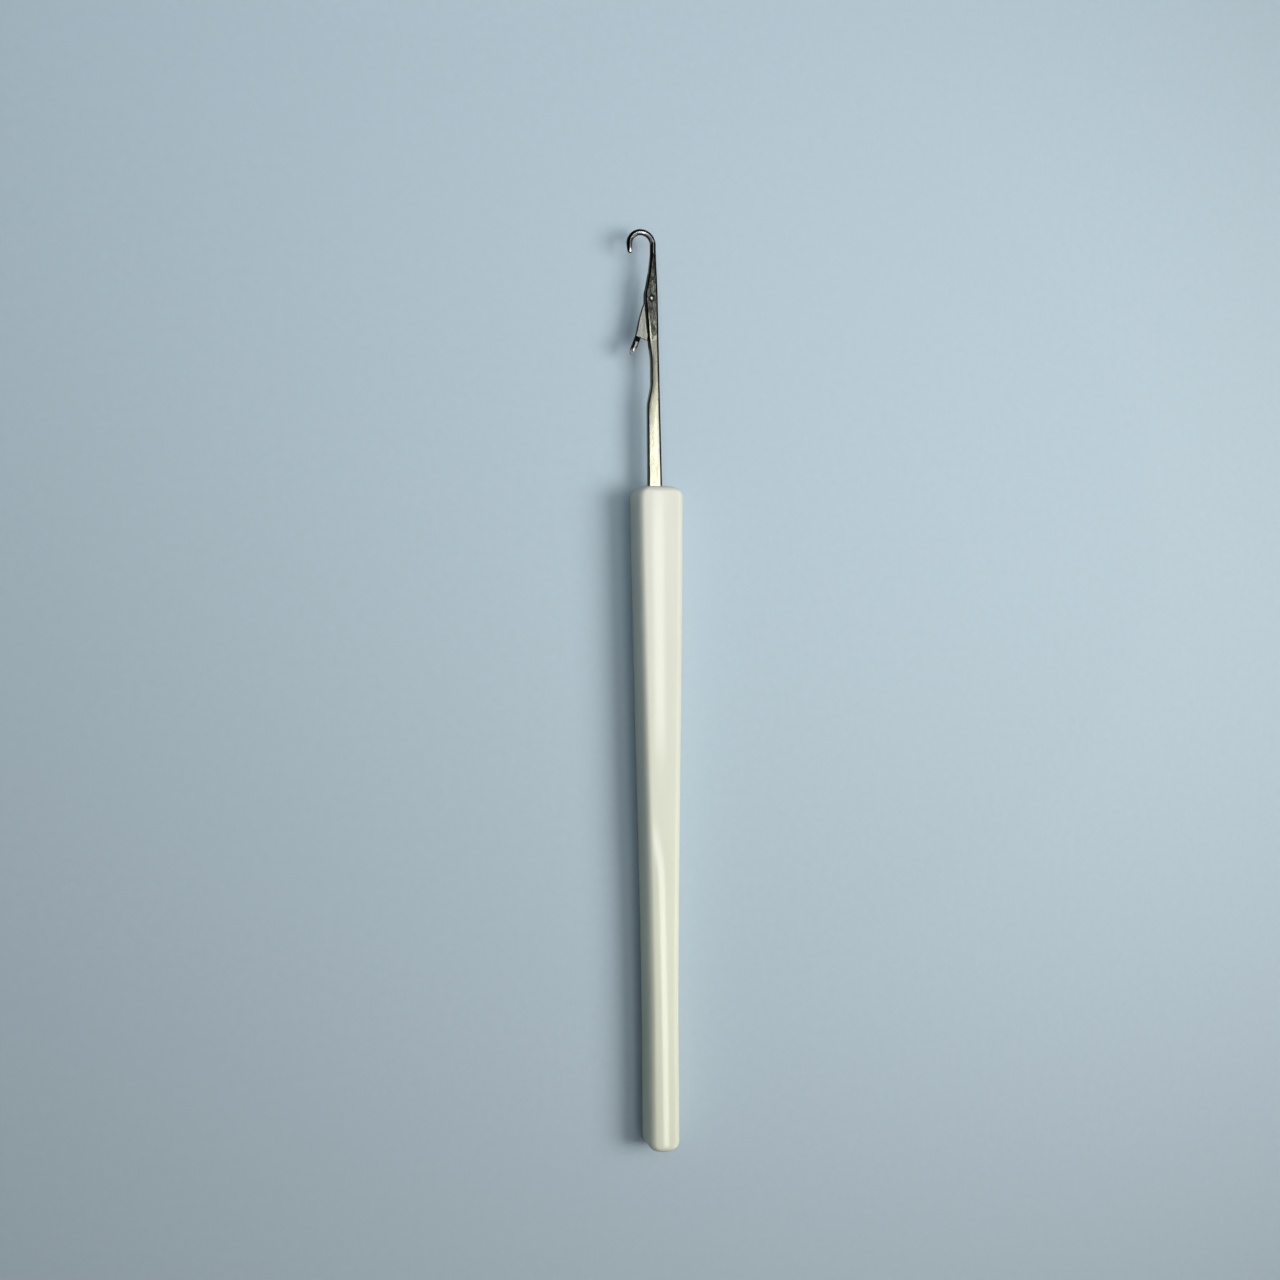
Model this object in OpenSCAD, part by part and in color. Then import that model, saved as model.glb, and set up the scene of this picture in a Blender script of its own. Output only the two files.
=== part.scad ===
// Knitting machine latch tool: a moulded handle holding one steel needle with a hook and a swinging latch.
// Millimetres. Z is up from the table, Y runs along the tool from the handle to the hook.
// The origin is the middle of the handle's flat underside.
// Lengths along the needle are counted from the mouth of the handle and called "out".
// The needle's front is the side that the hook and the latch open to, which faces -X.

/* [Handle] */
// Length of the handle from its mouth to its rear end
handle_l = 115.4; // [90:0.1:140]
// Width of the handle at its mouth
handle_w = 8.2; // [7.5:0.1:12]
// Width of the handle at its rear end
handle_rear_w = 5.4; // [5:0.1:9]
// Thickness of the handle at its mouth
handle_t = 7.0; // [6:0.1:10]
// Thickness of the handle at its rear end
handle_rear_t = 6.5; // [5.5:0.1:9]
// Length of the stretch of even width at the rear end
handle_even_l = 24; // [10:1:40]
// Radius of the four long edges
handle_edge_r = 1.4; // [0.6:0.1:2]
// Radius of the ends' corners, seen from above
handle_corner_r = 2.0; // [1:0.1:2.2]
// Radius of the ends' edges, seen from the side
handle_end_r = 1.2; // [0.6:0.1:2]

/* [Needle] */
// Length of the needle from the handle's mouth to the top of the hook
needle_l = 44.8; // [36:0.1:60]
// Length of the tang inside the handle
tang_l = 28; // [18:0.5:40]
// Distance of the needle's line from the middle of the handle
needle_x = -0.3; // [-0.6:0.05:0.6]
// Reach of the stem from the needle's line to its front edge, at the mouth
stem_front = 1.19; // [1:0.01:1.5]
// Reach of the stem from the needle's line to its back edge, at the mouth
stem_back = 1.27; // [1.1:0.01:1.6]
// Thickness of the stem and the tang
stem_t = 1.3; // [1:0.05:1.8]
// Rounding of the stem's long edges
stem_edge_r = 0.25; // [0.1:0.05:0.4]
// Radius of the holding notches in the tang's edges
notch_r = 0.45; // [0.2:0.05:0.6]
// Length of the step from the stem down to the recess
step_l = 4.4; // [2:0.1:6]
// Length of the recess that the open latch's tip swings to
recess_l = 3.5; // [2:0.1:5]
// Distance between the recess and the tip of the latch laid along the needle
recess_past_tip = 0.7; // [0:0.1:2]
// Reach of the recess from the needle's line to its front edge
recess_front = 0.54; // [0.4:0.01:0.8]

/* [Cheeks] */
// Thickness over the two cheeks that hold the latch
cheek_t = 1.7; // [1.5:0.05:2.2]
// Reach of the cheeks from the needle's line to their front edge, beside the pivot
cheek_front = 1.58; // [1.4:0.01:1.9]
// Rounding of the cheeks' edges
cheek_edge_r = 0.35; // [0.1:0.05:0.5]
// Length of the full-height stretch of the cheeks
cheek_top_l = 0.9; // [0.6:0.1:1.6]
// Length of the cheeks of full thickness, below the pivot
cheek_low_l = 4.4; // [3:0.1:6]
// Length over which the stem thickens to the cheeks
cheek_step_l = 3; // [1:0.1:4]
// Length of the slot between the cheeks, below the pivot
slot_low_l = 8.8; // [8.6:0.1:9.5]
// Length of the slot between the cheeks, above the pivot
slot_high_l = 4.3; // [4:0.1:5]
// Radius of the slot's ends
slot_end_r = 1.6; // [0.8:0.1:1.8]

/* [Hook] */
// Diameter of the round wire of the hook
wire_d = 1.06; // [0.8:0.02:1.2]
// Radius of the hook's bend, along the middle of the wire
hook_r = 2.11; // [1.8:0.01:2.6]
// Distance of the wire's middle from the needle's line, at the throat
throat_x = 0.04; // [0:0.01:0.1]
// Length of the straight round wire below the bend
throat_l = 0.9; // [0.5:0.1:1.5]
// Length of the beak, from the end of the bend to its tip
beak_l = 1.65; // [1.2:0.05:2.2]
// Diameter of the beak just behind its tip
beak_tip_d = 0.72; // [0.5:0.02:0.8]
// Lean of the beak's tip towards the needle
beak_lean = 0.12; // [0:0.01:0.25]

/* [Latch] */
// Distance between the pivot and the middle of the hook's bend, along the needle
pivot_to_hook = 9.46; // [8.8:0.01:11]
// Distance of the pivot in front of the needle's line
pivot_front = 0.46; // [0.4:0.01:0.5]
// Angle between the latch as shown and the needle
latch_open = 20; // [14:1:80]
// Thickness of the latch's blade
blade_t = 0.45; // [0.35:0.01:0.6]
// Radius of the latch's eye
eye_r = 0.82; // [0.7:0.01:0.86]
// Reach of the blade's outer edge from the latch's line, where it is widest
blade_out = 0.93; // [0.85:0.01:1]
// Reach of the blade's heel from the latch's line, towards the needle
heel_in = 1.9; // [1.2:0.05:2]
// Rounding of the heel's corner
heel_r = 0.2; // [0.1:0.05:0.4]
// Length of the spoon
spoon_l = 3.4; // [3:0.05:3.8]
// Width of the spoon where it grows out of the blade
spoon_neck_w = 0.66; // [0.62:0.02:0.8]
// Width of the spoon across its bowl
spoon_w = 1.56; // [1.5:0.02:1.8]
// Length of the hollow of the bowl
bowl_l = 2.4; // [2:0.1:2.8]
// Thickness of the spoon under and beside its bowl
bowl_wall = 0.24; // [0.18:0.01:0.28]
// Reach of the spoon's rim from the latch's line
spoon_rim = 0.45; // [0.4:0.01:0.55]
// Reach of the spoon's back from the latch's line
spoon_back = 0.5; // [0.45:0.01:0.6]
// Length of the spoon beyond the beak's tip when the latch is closed
spoon_cover = 1.8; // [1.5:0.05:2.1]
// Distance of the beak's tip from the latch's line when the latch is closed
beak_seat = 0.2; // [0.15:0.01:0.3]

/* [Rivet] */
// Diameter of the rivet's shank
rivet_d = 0.8; // [0.6:0.02:0.9]
// Diameter of the rivet's countersunk heads
head_d = 1.12; // [1:0.02:1.2]
// Depth of the countersink of each head
head_sink = 0.16; // [0.1:0.01:0.2]
// Height of the heads' low domes over the cheeks
head_dome = 0.05; // [0.02:0.01:0.1]

/* [Fits] */
// Gap between the latch and each cheek, and between its eye and the slot's floor
latch_gap = 0.05; // [0.03:0.01:0.08]
// Gap between the rivet and the latch's eye
pivot_gap = 0.03; // [0.02:0.01:0.08]
// Gap between the tang and the handle around it
socket_gap = 0.04; // [0.01:0.01:0.1]
// Gap between the closed spoon and the beak
dish_gap = 0.06; // [0.04:0.01:0.1]

/* [Hidden] */
$fn = 48;

// Smallest overrun of a cut past the face that it opens
over = 0.5;
// Points of one rounded corner of a section
corner_n = 5;
// Distance between sections where the outline changes
section_gap = 0.6;
// Number of sections in each rounded end of the handle
end_n = 6;
// Number of sections in the taper of the handle
taper_n = 14;
// Angle between sections round the hook
bend_step = 10;
// Angle between sections in the round tips of the beak and the spoon
tip_step = 18;
// Number of sections along the beak
beak_n = 6;
// Number of sections along the spoon
spoon_n = 16;
// Number of steps along the blade's outer edge
blade_n = 12;
// Number of steps across the dome of a rivet head
dome_n = 5;

mouth_y = handle_l / 2;
axis_z = handle_t / 2;
wire_r = wire_d / 2;
beak_r = beak_tip_d / 2;
rivet_r = rivet_d / 2;
head_r = head_d / 2;

// Places along the needle, counted from the mouth
hook_out = needle_l - wire_r - hook_r;
throat_out = hook_out - throat_l;
pivot_out = hook_out - pivot_to_hook;

// The beak's tip from the pivot, the turn of the closed latch from the needle, and the latch's own places
beak_tip = [pivot_front + throat_x - 2 * hook_r + beak_lean, pivot_to_hook - beak_l];
beak_at = sqrt(norm(beak_tip) ^ 2 - beak_seat ^ 2);
closed_turn = atan2(-beak_tip[0], beak_tip[1]) + asin(beak_seat / norm(beak_tip));
latch_l = beak_at + spoon_cover;
heel_at = latch_l - spoon_l;

// The recess, the cheeks and the slot
recess_end = pivot_out - latch_l - recess_past_tip;
recess_start = recess_end - recess_l;
step_start = recess_start - step_l;
cheek_top = [pivot_out - 0.3 * cheek_top_l, pivot_out + 0.7 * cheek_top_l];
slot_floor = eye_r + latch_gap - pivot_front;
slot_t = blade_t + 2 * latch_gap;

// Value at share t of the way from a to b
function mix(a, b, t) = a + (b - a) * t;

// How far a quarter round of radius r has drawn in, at distance d from the end that it closes
function round_in(r, d) = d >= r ? 0 : r - sqrt(r ^ 2 - (r - d) ^ 2);

// Slope of the chord that follows knot i
function chord(knots, i) = (knots[i + 1][1] - knots[i][1]) / (knots[i + 1][0] - knots[i][0]);

// Slope of the curve at knot i, level at the ends and wherever the knots turn back
function slope(knots, i) =
    i == 0 || i == len(knots) - 1 ? 0 :
    let (before = chord(knots, i - 1), after = chord(knots, i))
    before * after <= 0 ? 0 : 2 * before * after / (before + after);

// Smooth curve through the knots, read at s, which never swings past them
function curve(knots, s, i = 0) =
    i < len(knots) - 2 && s > knots[i + 1][0] ? curve(knots, s, i + 1) :
    let (
        w = knots[i + 1][0] - knots[i][0],
        t = min(max((s - knots[i][0]) / w, 0), 1),
        u = 1 - t
    )
    knots[i][1] * u * u * (1 + 2 * t) + slope(knots, i) * w * t * u * u
    + knots[i + 1][1] * t * t * (1 + 2 * u) - slope(knots, i + 1) * w * t * t * u;

// Rounded rectangle of half sizes a and b, whose flats lie exactly at those sizes
function rounded(a, b, r) =
    let (reach = r / cos(45 / corner_n))
    [for (k = [0:3], i = [0:corner_n - 1])
        let (turn = 90 * (k + (i + 0.5) / corner_n))
        [(k == 0 || k == 3 ? a - r : r - a) + reach * cos(turn), (k < 2 ? b - r : r - b) + reach * sin(turn)]];

// Section at a point of a path in the XY plane, square to its heading, from half sizes and a corner radius
function section(at, heading, a, b, r) =
    [for (p = rounded(a, b, min(r, a, b)))
        [at[0] + p[0] * sin(heading), at[1] - p[0] * cos(heading), at[2] + p[1]]];

// Closed skin over a list of sections of equally many points
module loft(sections) {
    n = len(sections[0]);
    last = len(sections) - 1;
    sides = [for (i = [0:last - 1], j = [0:n - 1], half = [0, 1])
        let (p = i * n + j, q = i * n + (j + 1) % n)
        half == 0 ? [p, q, q + n] : [p, q + n, p + n]];
    polyhedron(
        points = [for (s = sections) each s],
        faces = concat([[for (j = [n - 1:-1:0]) j]], sides, [[for (j = [0:n - 1]) last * n + j]])
    );
}

// Reaches of the needle from its line to its front edge and to its back edge
function front(out) = curve([
    [step_start, stem_front],
    [recess_start, recess_front],
    [recess_end, recess_front],
    [mix(recess_end, cheek_top[0], 0.37), mix(recess_front, cheek_front, 0.39)],
    [mix(recess_end, cheek_top[0], 0.69), mix(recess_front, cheek_front, 0.74)],
    [mix(recess_end, cheek_top[0], 0.84), mix(recess_front, cheek_front, 0.83)],
    [cheek_top[0], cheek_front],
    [cheek_top[1], cheek_front],
    [mix(cheek_top[1], throat_out, 0.25), mix(wire_r - throat_x, cheek_front, 0.65)],
    [mix(cheek_top[1], throat_out, 0.55), mix(wire_r - throat_x, cheek_front, 0.28)],
    [throat_out, wire_r - throat_x]
], out);
function back(out) = mix(stem_back, wire_r + throat_x, max(out, 0) / throat_out);

// A size that goes from the stem's to the cheeks' and on to the wire's
function along(out, at_stem, at_cheeks, at_wire) = curve([
    [pivot_out - cheek_low_l - cheek_step_l, at_stem],
    [pivot_out - cheek_low_l, at_cheeks],
    [pivot_out + head_d, at_cheeks],
    [throat_out, at_wire]
], out);

// Section of the straight needle
function needle_section(out, shrink = 0) = section(
    [(back(out) - front(out)) / 2, out, 0],
    90,
    (back(out) + front(out)) / 2 - shrink,
    along(out, stem_t, cheek_t, wire_d) / 2,
    along(out, stem_edge_r, cheek_edge_r, wire_r)
);

// Section of the round wire, at a turn round the bend or at a distance down the beak
function bend_section(turn) = section(
    [throat_x - hook_r + hook_r * cos(turn), hook_out + hook_r * sin(turn), 0], 90 + turn, wire_r, wire_r, wire_r
);
function beak_section(down) =
    let (r = mix(wire_r, beak_r, down / beak_l) - round_in(beak_r, beak_l - down))
    section([throat_x - 2 * hook_r + beak_lean * (down / beak_l) ^ 2, hook_out - down, 0], 270, r, r, r);

module needle_skin() {
    step_n = ceil((throat_out - step_start) / section_gap);
    loft(concat(
        [needle_section(-tang_l, stem_edge_r), needle_section(stem_edge_r - tang_l), needle_section(0)],
        [for (i = [0:step_n]) needle_section(mix(step_start, throat_out, i / step_n))],
        [for (turn = [0:bend_step:180]) bend_section(turn)],
        [for (i = [1:beak_n]) beak_section(mix(0, beak_l - beak_r, i / beak_n))],
        [for (turn = [tip_step:tip_step:89]) beak_section(beak_l - beak_r * (1 - sin(turn)))]
    ));
}

// The places of the tang's notches, two on each edge
module at_notches(reach_front, reach_back) {
    for (out = [-0.3 * tang_l, -0.65 * tang_l], x = [-reach_front, reach_back])
        translate([x, out, 0]) children();
}

// What a round saw leaves between the cheeks, as an outline seen along the pivot
module slot_outline() {
    low = pivot_out - slot_low_l;
    high = pivot_out + slot_high_l;
    mid = slot_floor - slot_end_r;
    translate([-cheek_front - over, low]) square([cheek_front + over + mid, high - low]);
    translate([mid, low + slot_end_r]) square([slot_end_r, high - low - 2 * slot_end_r]);
    for (end = [low + slot_end_r, high - slot_end_r]) translate([mid, end]) circle(r = slot_end_r);
}

module head_countersinks() {
    rise = (head_r - rivet_r) / head_sink * over;
    for (side = [0, 1]) mirror([0, 0, side]) translate([0, 0, cheek_t / 2 - head_sink])
        cylinder(r1 = rivet_r, r2 = head_r + rise, h = head_sink + over);
}

module needle() {
    color("lightsteelblue") translate([needle_x, mouth_y, axis_z]) difference() {
        needle_skin();
        linear_extrude(slot_t, center = true) slot_outline();
        translate([-pivot_front, pivot_out, 0]) {
            cylinder(r = rivet_r, h = cheek_t + 2 * over, center = true);
            head_countersinks();
        }
        at_notches(stem_front, stem_back) cylinder(r = notch_r, h = stem_t + 2 * over, center = true);
    }
}

module rivet() {
    dome = [for (i = [0:dome_n]) let (r = head_r * i / dome_n)
        [r, cheek_t / 2 + head_dome * (1 - (r / head_r) ^ 2)]];
    half = concat(dome, [[rivet_r, cheek_t / 2 - head_sink]]);
    outline = concat(half, [for (i = [len(half) - 1:-1:0]) [half[i][0], -half[i][1]]]);
    color("silver") translate([needle_x - pivot_front, mouth_y + pivot_out, axis_z])
        rotate_extrude() polygon(outline);
}

// Width of the handle at a distance behind its mouth
function handle_width(behind) =
    let (t = min(behind / (handle_l - handle_even_l), 1))
    mix(handle_w, handle_rear_w, (t + (1 - cos(180 * t)) / 2) / 2);

function handle_section(behind) =
    let (
        end = min(behind, handle_l - behind),
        t = mix(handle_t, handle_rear_t, behind / handle_l)
    )
    section(
        [0, mouth_y - behind, t / 2],
        270,
        handle_width(behind) / 2 - round_in(handle_corner_r, end),
        t / 2 - round_in(handle_end_r, end),
        handle_edge_r
    );

module handle_skin() {
    ends = [for (i = [0:end_n - 1]) handle_corner_r * (1 - cos(90 * i / end_n))];
    loft(concat(
        [for (e = ends) handle_section(e)],
        [for (i = [0:taper_n]) handle_section(mix(handle_corner_r, handle_l - handle_even_l, i / taper_n))],
        [handle_section(handle_l - handle_corner_r)],
        [for (i = [end_n - 1:-1:0]) handle_section(handle_l - ends[i])]
    ));
}

// The room that the moulding leaves for the tang, with the plastic that fills the tang's notches taken out
module tang_room() {
    difference() {
        translate([-stem_front - socket_gap, -tang_l - socket_gap, -stem_t / 2 - socket_gap])
            cube([
                stem_front + stem_back + 2 * socket_gap,
                tang_l + socket_gap + over,
                stem_t + 2 * socket_gap
            ]);
        at_notches(stem_front + socket_gap, stem_back + socket_gap)
            cylinder(r = notch_r - socket_gap, h = stem_t + 2 * over, center = true);
    }
}

module handle() {
    color("ivory") difference() {
        handle_skin();
        translate([needle_x, mouth_y, axis_z]) tang_room();
    }
}

// Outline of the blade, its heel and its eye, with the latch's line along Y and its outer edge towards +X
module blade_outline() {
    outer = [
        [0, eye_r],
        [0.28 * heel_at, blade_out],
        [0.6 * heel_at, mix(blade_out, spoon_rim, 0.3)],
        [heel_at, spoon_rim]
    ];
    polygon(concat(
        [[-eye_r, 0]],
        [for (i = [0:blade_n]) let (at = heel_at * i / blade_n) [curve(outer, at), at]],
        [[heel_r - heel_in, heel_at], [-heel_in, heel_at - heel_r]]
    ));
    translate([heel_r - heel_in, heel_at - heel_r]) circle(r = heel_r);
    circle(r = eye_r);
}

// Section of the spoon, which grows out of the blade and closes in a round tip
function spoon_section(at) =
    let (
        s = (at - heel_at) / spoon_l,
        rim = spoon_rim * curve([[0, 1], [0.3, 0.78], [1, 1]], s),
        back = spoon_back * curve([[0, 1.24], [0.4, 1], [1, 0.8]], s),
        wide = curve([[0, spoon_neck_w], [0.35, spoon_w]], s) / 2,
        tip = round_in(1, (latch_l - at) / (spoon_w / 2))
    )
    section(
        [(rim - back) / 2, at, 0],
        90,
        (rim + back) / 2 * (1 - tip),
        wide * (1 - tip),
        0.8 * min(rim, wide) * (1 - tip)
    );

module spoon_skin() {
    tip_r = spoon_w / 2;
    loft(concat(
        [for (i = [0:spoon_n]) spoon_section(mix(heel_at - heel_r / 2, latch_l - tip_r, i / spoon_n))],
        [for (turn = [tip_step:tip_step:89]) spoon_section(latch_l - tip_r * (1 - sin(turn)))]
    ));
}

// The bowl of the spoon and, through its front, the room for the beak of the hook
module dish() {
    bowl_depth = spoon_rim + spoon_back - bowl_wall;
    translate([spoon_rim, beak_at, 0])
        scale([bowl_depth, bowl_l / 2, spoon_w / 2 - bowl_wall]) sphere(r = 1, $fn = 32);
    translate([beak_seat, beak_at, 0]) {
        rotate([0, 0, -closed_turn]) rotate([-90, 0, 0])
            cylinder(r1 = beak_r + dish_gap, r2 = wire_r + dish_gap, h = beak_l);
        sphere(r = beak_r + dish_gap);
    }
}

module latch() {
    color("gainsboro") translate([needle_x - pivot_front, mouth_y + pivot_out, axis_z])
        rotate([0, 0, 180 - latch_open]) difference() {
            union() {
                linear_extrude(blade_t, center = true) blade_outline();
                spoon_skin();
            }
            dish();
            cylinder(r = rivet_r + pivot_gap, h = blade_t + 2 * over, center = true);
        }
}

handle();
needle();
rivet();
latch();
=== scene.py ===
"""Looks of a knitting machine latch tool: moulded handle, steel needle with its hook, rivet and latch.

Everything is in metres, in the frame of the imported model. Z is up from the table, Y runs along the tool
from the handle to the hook, and the origin is the middle of the handle's flat underside.
Lengths along the needle are counted from the mouth of the handle and called "out".
The needle's front is the side that the hook and the latch open to, which faces -X.
In the functions h and n are the settings of the handle and the needle, and p holds the places that are
worked out from the settings.
"""
import math
from types import SimpleNamespace

import bmesh
import bpy
import numpy as np
from mathutils import Matrix, Vector


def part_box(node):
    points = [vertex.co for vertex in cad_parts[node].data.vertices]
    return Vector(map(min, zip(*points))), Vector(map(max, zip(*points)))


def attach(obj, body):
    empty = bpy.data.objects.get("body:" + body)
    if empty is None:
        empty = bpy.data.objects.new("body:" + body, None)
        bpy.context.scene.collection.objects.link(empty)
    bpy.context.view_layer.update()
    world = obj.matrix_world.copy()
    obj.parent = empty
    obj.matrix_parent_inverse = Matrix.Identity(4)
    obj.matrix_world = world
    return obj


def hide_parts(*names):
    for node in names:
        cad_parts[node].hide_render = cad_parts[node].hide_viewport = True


bl_info = {
    "name": "Knitting Machine Latch Tool",
    "version": (1, 0, 0),
    "blender": (4, 5, 0),
    "location": "3D View > Sidebar > Latch Tool",
    "description": "Builds a latch tool for a knitting machine, with its stage, lights and camera",
    "category": "Object",
}

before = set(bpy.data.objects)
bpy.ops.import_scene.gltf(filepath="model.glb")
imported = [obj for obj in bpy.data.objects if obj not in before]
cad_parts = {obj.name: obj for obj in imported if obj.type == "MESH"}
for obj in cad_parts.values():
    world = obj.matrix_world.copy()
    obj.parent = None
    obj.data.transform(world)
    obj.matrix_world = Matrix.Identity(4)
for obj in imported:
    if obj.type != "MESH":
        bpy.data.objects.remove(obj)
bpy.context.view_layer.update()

MM = 0.001
NODE_BODY = {"handle": "tool", "needle": "tool", "rivet": "tool", "latch": "latch"}


# Sizes and colours

def length(name, text, mm, low=0.0):
    """A length in metres, with its default given in millimetres."""
    return bpy.props.FloatProperty(
        name=name, description=text, default=mm * MM, min=low * MM, precision=5, unit="LENGTH"
    )


def angle(name, text, degrees):
    """An angle, with its default given in degrees."""
    return bpy.props.FloatProperty(
        name=name, description=text, default=math.radians(degrees), subtype="ANGLE", unit="ROTATION"
    )


def share(name, text, value):
    """A plain number between 0 and 1."""
    return bpy.props.FloatProperty(name=name, description=text, default=value, min=0.0, max=1.0)


def colour(name, text, value):
    """A linear colour."""
    return bpy.props.FloatVectorProperty(
        name=name, description=text, default=value, min=0.0, max=1.0, size=3, subtype="COLOR"
    )


def cad_length(node, axis):
    """The length of a CAD node along an axis, in millimetres."""
    low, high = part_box(node)
    return (high[axis] - low[axis]) / MM


class HandleSizes(bpy.types.PropertyGroup):
    """Sizes and finish of the moulded handle."""

    long: length("Length", "From the mouth to the rear end", cad_length("handle", 1))
    wide: length("Width", "At the mouth", 8.2)
    rear_wide: length("Rear width", "At the rear end", 5.4)
    thick: length("Thickness", "At the mouth", 7.0)
    rear_thick: length("Rear thickness", "At the rear end", 6.5)
    even: length("Even stretch", "Length of the stretch of even width at the rear", 24.0)
    edge_r: length("Edge radius", "Rounding of the four long edges at the mouth", 1.15)
    rear_edge_r: length("Rear edge radius", "Rounding of the four long edges at the rear", 1.2)
    corner_r: length("Corner radius", "Rounding of the ends, seen from above", 2.0)
    end_r: length("End radius", "Rounding of the ends, seen from the side", 1.2)
    crown: length("Crown", "Fall of the top from its middle to its sides", 0.20)
    facet: length("Facet", "Distance of the facet's ridge from the handle's left side, at the rear", 1.6)
    front_facet: length("Front facet", "The same distance where the facet begins", 0.9)
    facet_tilt: angle("Facet tilt", "Slope of the facet at the rear", 19.0)
    ridge_r: length("Ridge", "Softness of the ridge beside the facet", 1.05)
    tint: colour("Plastic", "Colour of the moulded plastic", (0.72, 0.735, 0.65))
    # The rear colour is the plastic's yellowing together with painted light that makes the rear lighter
    aged_and_lit: colour("Aged plastic", "Colour of the plastic at the rear", (0.82, 0.85, 0.70))
    gloss: share("Roughness", "Roughness of the plastic", 0.30)


class NeedleSizes(bpy.types.PropertyGroup):
    """Sizes and finish of the stem, the cheeks and the hook, which are one piece of steel."""

    long: length("Length", "From the handle's mouth to the top of the hook", 44.8)
    tang: length("Tang", "Length of the tang inside the handle", 28.0)
    aside: length("Offset", "Distance of the needle's line from the middle of the handle", -0.3, low=-2.0)
    front: length("Stem front", "Reach from the needle's line to the stem's front edge", 1.19)
    back: length("Stem back", "Reach from the needle's line to the stem's back edge", 1.27)
    thick: length("Stem thickness", "Thickness of the stem and the tang", 1.3)
    edge_r: length("Stem edge radius", "Rounding of the stem's long edges", 0.25)
    notch_r: length("Notch radius", "Radius of the holding notches in the tang", 0.45)
    step: length("Step", "Length of the step from the stem down to the recess", 4.4)
    recess: length("Recess", "Length of the recess that the open latch swings to", 3.5)
    past_tip: length("Past the tip", "Between the recess and the tip of the laid latch", 0.7)
    recess_front: length("Recess front", "Reach of the recess from the needle's line", 0.54)
    cheek_thick: length("Cheek thickness", "Over the two cheeks that hold the latch", 1.7)
    cheek_front: length("Cheek front", "Reach of the cheeks from the needle's line", 1.58)
    cheek_edge_r: length("Cheek edge radius", "Rounding of the cheeks' edges", 0.35)
    cheek_top: length("Cheek top", "Length of the full-height stretch of the cheeks", 0.9)
    cheek_low: length("Cheek length", "Full thickness below the pivot", 4.4)
    cheek_step: length("Cheek step", "Length over which the stem thickens to the cheeks", 3.0)
    slot_low: length("Slot below", "Length of the slot below the pivot", 8.8)
    slot_high: length("Slot above", "Length of the slot above the pivot", 4.3)
    slot_end_r: length("Slot end radius", "Radius that the round saw leaves at the slot's ends", 1.6)
    wire: length("Wire", "Diameter of the round wire of the hook", 1.06)
    hook_r: length("Hook radius", "Radius of the bend, along the middle of the wire", 2.11)
    throat_x: length("Throat offset", "From the needle's line to the wire's middle", 0.04)
    throat: length("Throat", "Length of the straight round wire below the bend", 0.9)
    beak: length("Beak", "From the end of the bend to the tip", 1.65)
    beak_tip: length("Beak tip", "Diameter of the beak just behind its tip", 0.72)
    beak_lean: length("Beak lean", "Lean of the beak's tip towards the needle", 0.12)
    flat_tilt: angle("Flat tilt", "Slope of the flat that is ground on the beak's tip", 10.6)
    flat_up: length("Flat height", "Height of the flat over the wire's middle, at the very tip", 0.28)
    tint: colour("Steel", "Colour of the needle's steel", (0.56, 0.55, 0.45))
    gloss: share("Roughness", "Roughness of the needle's steel", 0.24)


class LatchSizes(bpy.types.PropertyGroup):
    """Sizes and finish of the latch and its rivet."""

    pivot_to_hook: length("Pivot to hook", "From the pivot to the middle of the bend", 9.46)
    pivot_front: length("Pivot offset", "Distance of the pivot in front of the needle's line", 0.46)
    open: angle("Open angle", "Between the latch as shown and the needle", 20.0)
    blade: length("Blade thickness", "Thickness of the latch's blade", 0.45)
    eye_r: length("Eye radius", "Radius of the latch's eye", 0.82)
    blade_out: length("Blade edge", "Reach of the blade's outer edge from the latch's line", 0.93)
    heel_in: length("Heel", "Reach of the heel from the latch's line", 1.9)
    heel_r: length("Heel radius", "Rounding of the heel's corner", 0.2)
    spoon: length("Spoon", "Length of the spoon", 3.4)
    neck: length("Neck width", "Width of the spoon where it grows out of the blade", 0.66)
    spoon_wide: length("Spoon width", "Width of the spoon across its bowl", 1.56)
    bowl: length("Bowl", "Length of the hollow of the bowl", 2.4)
    wall: length("Bowl wall", "Thickness under and beside the bowl", 0.24)
    rim: length("Spoon rim", "Reach of the rim from the latch's line", 0.45)
    spine: length("Spoon back", "Reach of the spoon's back from the latch's line", 0.5)
    cover: length("Spoon cover", "Length beyond the beak's tip when the latch is closed", 1.8)
    seat: length("Beak seat", "Distance of the beak's tip from the latch's line, closed", 0.2)
    rivet: length("Rivet", "Diameter of the rivet's shank", 0.8)
    head: length("Rivet head", "Diameter of the countersunk heads", 1.12)
    head_sink: length("Countersink", "Depth of the countersink of each head", 0.16)
    head_dome: length("Head dome", "Height of the heads over the cheeks", 0.05)
    tint: colour("Latch steel", "Colour of the latch's steel", (0.34, 0.35, 0.315))
    rivet_tint: colour("Rivet steel", "Colour of the rivet's steel", (0.62, 0.62, 0.60))
    gloss: share("Roughness", "Roughness of the steel of the latch and its rivet", 0.20)


class FitSizes(bpy.types.PropertyGroup):
    """The gaps between the pieces."""

    latch: length("Latch gap", "Between the latch and each cheek", 0.05)
    pivot: length("Pivot gap", "Between the rivet and the latch's eye", 0.03)
    socket: length("Socket gap", "Between the tang and the handle around it", 0.04)
    dish: length("Dish gap", "Between the closed spoon and the beak", 0.06)


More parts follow.
